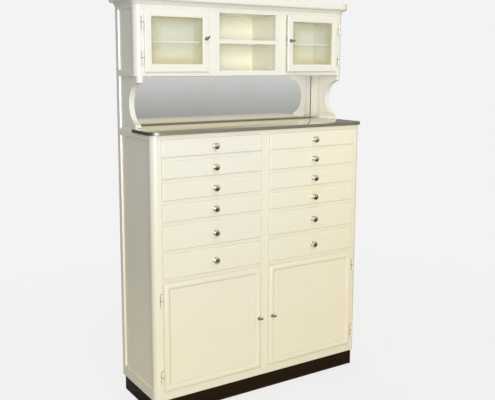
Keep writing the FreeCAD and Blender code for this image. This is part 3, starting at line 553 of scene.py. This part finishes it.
shares = [step / moulding_steps for step in range(moulding_steps + 1)]
frame_section = [(moulding_width * s, moulding_rise * abs(2 * s - 1) ** moulding_fullness) for s in shares]
frame_section += [
    (moulding_width, frame_rear), (lip_inset, frame_rear), (lip_inset, lip_depth), (0, lip_depth),
]
for door in lower_doors:
    low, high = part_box(f"{door}_frame")
    bm = bmesh.new()
    mitres = []
    for x, across, z, up in (
        (low.x, 1, low.z, 1), (high.x, -1, low.z, 1), (high.x, -1, high.z, -1), (low.x, 1, high.z, -1),
    ):
        points = [
            bm.verts.new((x + across * inset, low.y + depth, z + up * inset))
            for inset, depth in frame_section
        ]
        mitres.append([bm.edges.new(pair) for pair in zip(points, points[1:] + points[:1])])
    for first, second in zip(mitres, mitres[1:] + mitres[:1]):
        bmesh.ops.bridge_loops(bm, edges=first + second)
    bmesh.ops.recalc_face_normals(bm, faces=bm.faces[:])
    fit_piece(f"{door}_moulding", bm, [door_enamel], door, f"{door}_frame", smooth_under=40)

clear_glass, tree, shader = new_finish("clear_glass")
low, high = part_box("upper_door_left_glass")
pane_middle = (low + high) / 2
pane_half = (high - low) / 2
dust = cloudy(tree, scale=14.0, detail=5.0, roughness=0.6)
from_middle = off_middle(tree, off_middle(tree, along(tree, "X"), 0.0), -pane_middle.x)
to_stile = remap(tree, from_middle, (putty_shade_from * pane_half.x, pane_half.x))
from_shelf = off_middle(tree, along(tree, "Z"), pane_middle.z)
to_rail = remap(tree, from_shelf, (putty_shade_from * pane_half.z, pane_half.z))
near_putty = reckon(tree, "MAXIMUM", to_stile, to_rail)
warm_span = (pane_middle.z - painted_warm_from * pane_half.z, pane_middle.z)
# Painted light: the haze warms towards the foot of the pane.
warm_foot_share = remap(tree, along(tree, "Z"), warm_span, to=(0.8, 0.0))
haze = blend(tree, dust, thin_haze, dusty_haze)
haze = blend(tree, warm_foot_share, haze, painted_warm_haze)
# Painted shade: the haze yellows towards the putty.
haze = blend(tree, times(tree, near_putty, 0.8), haze, putty_edge_shade)
coat(tree, shader, haze, spread(tree, dust, to=(0.02, 0.06)))
path = add(tree, "ShaderNodeLightPath")
lets_light_in = remap(tree, path.outputs["Is Shadow Ray"], (0.0, 1.0), to=(1.0, shadow_share))
cover = times(tree, spread(tree, dust, to=(0.26, 0.31)), lets_light_in)
tree.links.new(cover, shader.inputs["Alpha"])
clear_glass.surface_render_method = "BLENDED"
paint_nodes(clear_glass, *[f"{door}_glass" for door in upper_doors])

# Hinges: pressed steel lift-off hinges, one leaf screwed to the post and one let into the edge of the door.
# They were painted over with the case. Their hollows are darkened with painted shade, and a narrow band
# where the knuckles meet is darker.
knuckle = 0.025
hinge_gloss = 0.22
hinge_hollow_shade = (0.260, 0.230, 0.165)
knuckle_seam_dark = (0.030, 0.024, 0.016)
seam_half = (0.0007, 0.0017)

hinge_enamel = enamel("hinge_enamel", fresh_cream, hinge_gloss)
tree = hinge_enamel.node_tree
# Painted shade: the hinges' hollows are darkened.
over(hinge_enamel, times(tree, crevice(tree, joint_shade_reach, full_at=0.10), 0.7), hinge_hollow_shade)
# A narrow dark band where each pair of knuckles meets.
for door in (lower_doors[0], upper_doors[0]):
    low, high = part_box(f"{door}_hinges")
    for seam in (low.z, high.z - knuckle):
        from_seam = off_middle(tree, along(tree, "Z"), seam)
        over(hinge_enamel, remap(tree, from_seam, seam_half, to=(0.7, 0.0)), knuckle_seam_dark)
paint_nodes(hinge_enamel, "hinge_leaves", *[f"{door}_hinges" for door in lower_doors + upper_doors])

# Turn latches: nickel-plated brass, a small rose and spindle through the door stile with a thumb lever in
# front. The tongue behind the frame is filed from flat bar and riveted to the spindle. The corners of the
# outline are given as the knob's are, from the face of the stile.
latch_outline = (
    (0.0000, -0.0310, 0.0000), (0.0035, -0.0310, 0.0000), (0.0035, -0.0026, 0.0000),
    (0.0072, -0.0026, 0.0003), (0.0072, 0.0026, 0.0012), (0.0037, 0.0032, 0.0009),
    (0.0035, 0.0100, 0.0000), (0.0000, 0.0100, 0.0000),
)
lever_plan = ((-0.0048, -0.0038), (0.0145, -0.0038), (0.0145, 0.0038), (-0.0048, 0.0038))
lever_depth = (-0.0145, -0.0095)
lever_corner = 0.0036
lever_arris = 0.0014
tongue_plan = ((-0.0040, -0.0040), (0.0040, -0.0040), (0.0040, 0.0210), (-0.0040, 0.0210))
tongue_thickness = 0.0030
tongue_corner = 0.0030
tongue_arris = 0.0005
# Painted shade: the latches' nickel is a darker copy of the knobs' nickel.
shaded_latch_dull = (0.270, 0.245, 0.195)
shaded_latch_bright = (0.420, 0.390, 0.320)


def flat_bar(bm, plan, depth, corner, arris, tilt=0.0):
    """A bar cut to a plan of X and Z with round corners and soft edges, between two depths in Y."""
    front, rear = depth
    bar = bmesh.new()
    bar.faces.new([bar.verts.new((x, front, z)) for x, z in plan])
    ease(bar, bar.verts[:], corner, "VERTICES", segments=6)
    draw_out(bar, (0, rear - front, 0), arris, segments=3)
    bmesh.ops.rotate(bar, verts=bar.verts[:], cent=(0, 0, 0), matrix=Matrix.Rotation(tilt, 3, "Y"))
    shape = bpy.data.meshes.new("flat_bar")
    bar.to_mesh(shape)
    bar.free()
    bm.from_mesh(shape)
    bpy.data.meshes.remove(shape)


shaded_latch_nickel = nickel("shaded_latch_nickel", shaded_latch_dull, shaded_latch_bright)
for door, stile_face, tongue_at, lever_tilt in (
    ("lower_door_left", -0.0045, 0.0335, 0.0),
    ("lower_door_right", -0.0045, 0.0335, 0.0),
    ("upper_door_left", -0.0005, 0.0295, 45.0),
    ("upper_door_right", -0.0005, 0.0295, 0.0),
):
    latch = door.replace("door", "latch")
    axle = next(joint for joint in frame["joints"] if joint["name"] == f"{latch}_turn")
    inward = Vector(axle["axis"]) * math.copysign(1.0, axle["axis"][1])
    bm = bmesh.new()
    turn(bm, latch_outline, steps=32)
    flat_bar(bm, lever_plan, lever_depth, lever_corner, lever_arris, math.radians(-lever_tilt))
    flat_bar(bm, tongue_plan, (tongue_at, tongue_at + tongue_thickness), tongue_corner, tongue_arris)
    swung = Matrix.Rotation(math.atan2(-inward.x, inward.y), 3, "Z")
    bmesh.ops.translate(bm, verts=bm.verts[:], vec=(0, stile_face, 0))
    bmesh.ops.rotate(bm, verts=bm.verts[:], cent=(0, 0, 0), matrix=swung)
    bmesh.ops.translate(bm, verts=bm.verts[:], vec=axle["pos_m"])
    fit_piece(f"{door}_turn_latch", bm, [shaded_latch_nickel], latch, f"{door}_latch", smooth_under=50)

# Studio: a plain pale floor that fades into the backdrop, lit by the room and by three large soft lamps.
# The room that the mirror, the nickel and the worktop show is grey, with a warm wall above eye height, and
# it is darker towards the ceiling, the skirting and the camera's side.
floor_radius = 3.0
floor_fade = (0.9, 2.6)
floor_colour = (0.52, 0.52, 0.52)
floor_roughness = 0.9
floor_glow = (0.985, 0.985, 0.985)
floor_glow_share = 0.80
backdrop = (0.896, 0.896, 0.896)
dark_skirting = (0.05, 0.045, 0.035)
low_wall = (0.38, 0.38, 0.36)
eye_wall = (0.82, 0.82, 0.80)
warm_wall = (0.86, 0.81, 0.63)
dark_ceiling = (0.09, 0.085, 0.075)
wall_behind = (0.26, 0.255, 0.25)
dim_side = (0.10, 0.095, 0.085)
fill_colour = (0.97, 1.0, 0.985)
fill_strength = (0.26, 0.40)
warm_lamp = (1.0, 0.985, 0.955)
pale_lamp = (1.0, 0.990, 0.970)
lamp_aim = Vector((0.0, 0.0, 0.95))


def between(tree, share, first, second):
    """A surface or a light between two others."""
    mixed = add(tree, "ShaderNodeMixShader")
    for socket, source in zip(mixed.inputs, (share, first, second)):
        tree.links.new(source, socket)
    return mixed.outputs["Shader"]


floor_paint, tree, shader = new_finish("floor_paint")
shader.inputs["Base Color"].default_value = (*floor_colour, 1)
shader.inputs["Roughness"].default_value = floor_roughness
path = add(tree, "ShaderNodeLightPath")
glow = add(tree, "ShaderNodeEmission", inputs={"Color": (*floor_glow, 1)})
clear = add(tree, "ShaderNodeBsdfTransparent")
away = add(tree, "ShaderNodeVectorMath", operation="LENGTH")
tree.links.new(on_piece(tree), away.inputs[0])
lifting = times(tree, path.outputs["Is Camera Ray"], floor_glow_share)
lifted = between(tree, lifting, shader.outputs["BSDF"], glow.outputs["Emission"])
faded = between(tree, remap(tree, away.outputs["Value"], floor_fade), lifted, clear.outputs["BSDF"])
tree.links.new(faded, tree.nodes["Material Output"].inputs["Surface"])

bm = bmesh.new()
bmesh.ops.create_circle(bm, cap_ends=True, radius=floor_radius, segments=96)
mesh = bpy.data.meshes.new("studio_floor")
bm.to_mesh(mesh)
bm.free()
mesh.materials.append(floor_paint)
studio_floor = bpy.data.objects.new("studio_floor", mesh)
bpy.context.scene.collection.objects.link(studio_floor)

studio = bpy.data.worlds.new("studio")
bpy.context.scene.world = studio
studio.use_nodes = True
tree = studio.node_tree
around = add(tree, "ShaderNodeTexCoord")
facing = add(tree, "ShaderNodeSeparateXYZ")
tree.links.new(around.outputs["Generated"], facing.inputs["Vector"])
room = dark_skirting
for band, colour in (
    ((-0.20, -0.12), low_wall),
    ((-0.085, -0.012), eye_wall),
    ((0.010, 0.050), warm_wall),
    ((0.16, 0.40), dark_ceiling),
):
    room = blend(tree, remap(tree, facing.outputs["Z"], band), room, colour)
room = blend(tree, remap(tree, facing.outputs["Y"], (-0.45, 0.05)), room, wall_behind)
room = blend(tree, remap(tree, facing.outputs["X"], (-0.55, 0.35)), dim_side, room)
fill = tree.nodes["Background"]
fill.inputs["Color"].default_value = (*fill_colour, 1)
tree.links.new(remap(tree, facing.outputs["Z"], (-0.3, 0.7), to=fill_strength), fill.inputs["Strength"])
shown = add(tree, "ShaderNodeBackground", inputs={"Color": (*backdrop, 1)})
mirrored = add(tree, "ShaderNodeBackground")
tree.links.new(room, mirrored.inputs["Color"])
path = add(tree, "ShaderNodeLightPath")
seen = reckon(tree, "MAXIMUM", path.outputs["Is Camera Ray"], path.outputs["Is Transmission Ray"])
lit = between(
    tree, path.outputs["Is Glossy Ray"], fill.outputs["Background"], mirrored.outputs["Background"],
)
whole = between(tree, seen, lit, shown.outputs["Background"])
tree.links.new(whole, tree.nodes["World Output"].inputs["Surface"])

for name, size, energy, colour, stand in (
    ("key_box", 5.0, 565.0, warm_lamp, (-3.30, -7.90, 1.90)),
    ("top_box", 4.0, 90.0, warm_lamp, (-0.90, -4.00, 6.20)),
    ("rear_box", 3.4, 200.0, pale_lamp, (0.90, 6.00, 3.40)),
):
    soft_box = bpy.data.lights.new(name, "AREA")
    soft_box.size = size
    soft_box.energy = energy
    soft_box.color = colour
    lamp = bpy.data.objects.new(name, soft_box)
    lamp.location = stand
    lamp.rotation_euler = (lamp_aim - lamp.location).to_track_quat("-Z", "Y").to_euler()
    bpy.context.scene.collection.objects.link(lamp)

# Camera: at standing height off the front left corner, looking a little down, with the lens dropped a
# little to keep the uprights upright.
camera_place = (-1.63321, -2.55804, 1.38936)
camera_turn = -32.67
camera_dip = 8.46
camera_roll = 0.20

camera = bpy.data.cameras.new("camera")
camera.sensor_fit = "HORIZONTAL"
camera.sensor_width = 36.0
camera.lens = 51.93
camera.shift_y = -0.0606
camera.clip_start = 0.05
viewer = bpy.data.objects.new("camera", camera)
viewer.matrix_world = (
    Matrix.Translation(camera_place)
    @ Matrix.Rotation(math.radians(camera_turn), 4, "Z")
    @ Matrix.Rotation(math.radians(90 - camera_dip), 4, "X")
    @ Matrix.Rotation(math.radians(camera_roll), 4, "Z")
)
bpy.context.scene.collection.objects.link(viewer)
bpy.context.scene.camera = viewer
bpy.context.scene.view_settings.view_transform = "Standard"
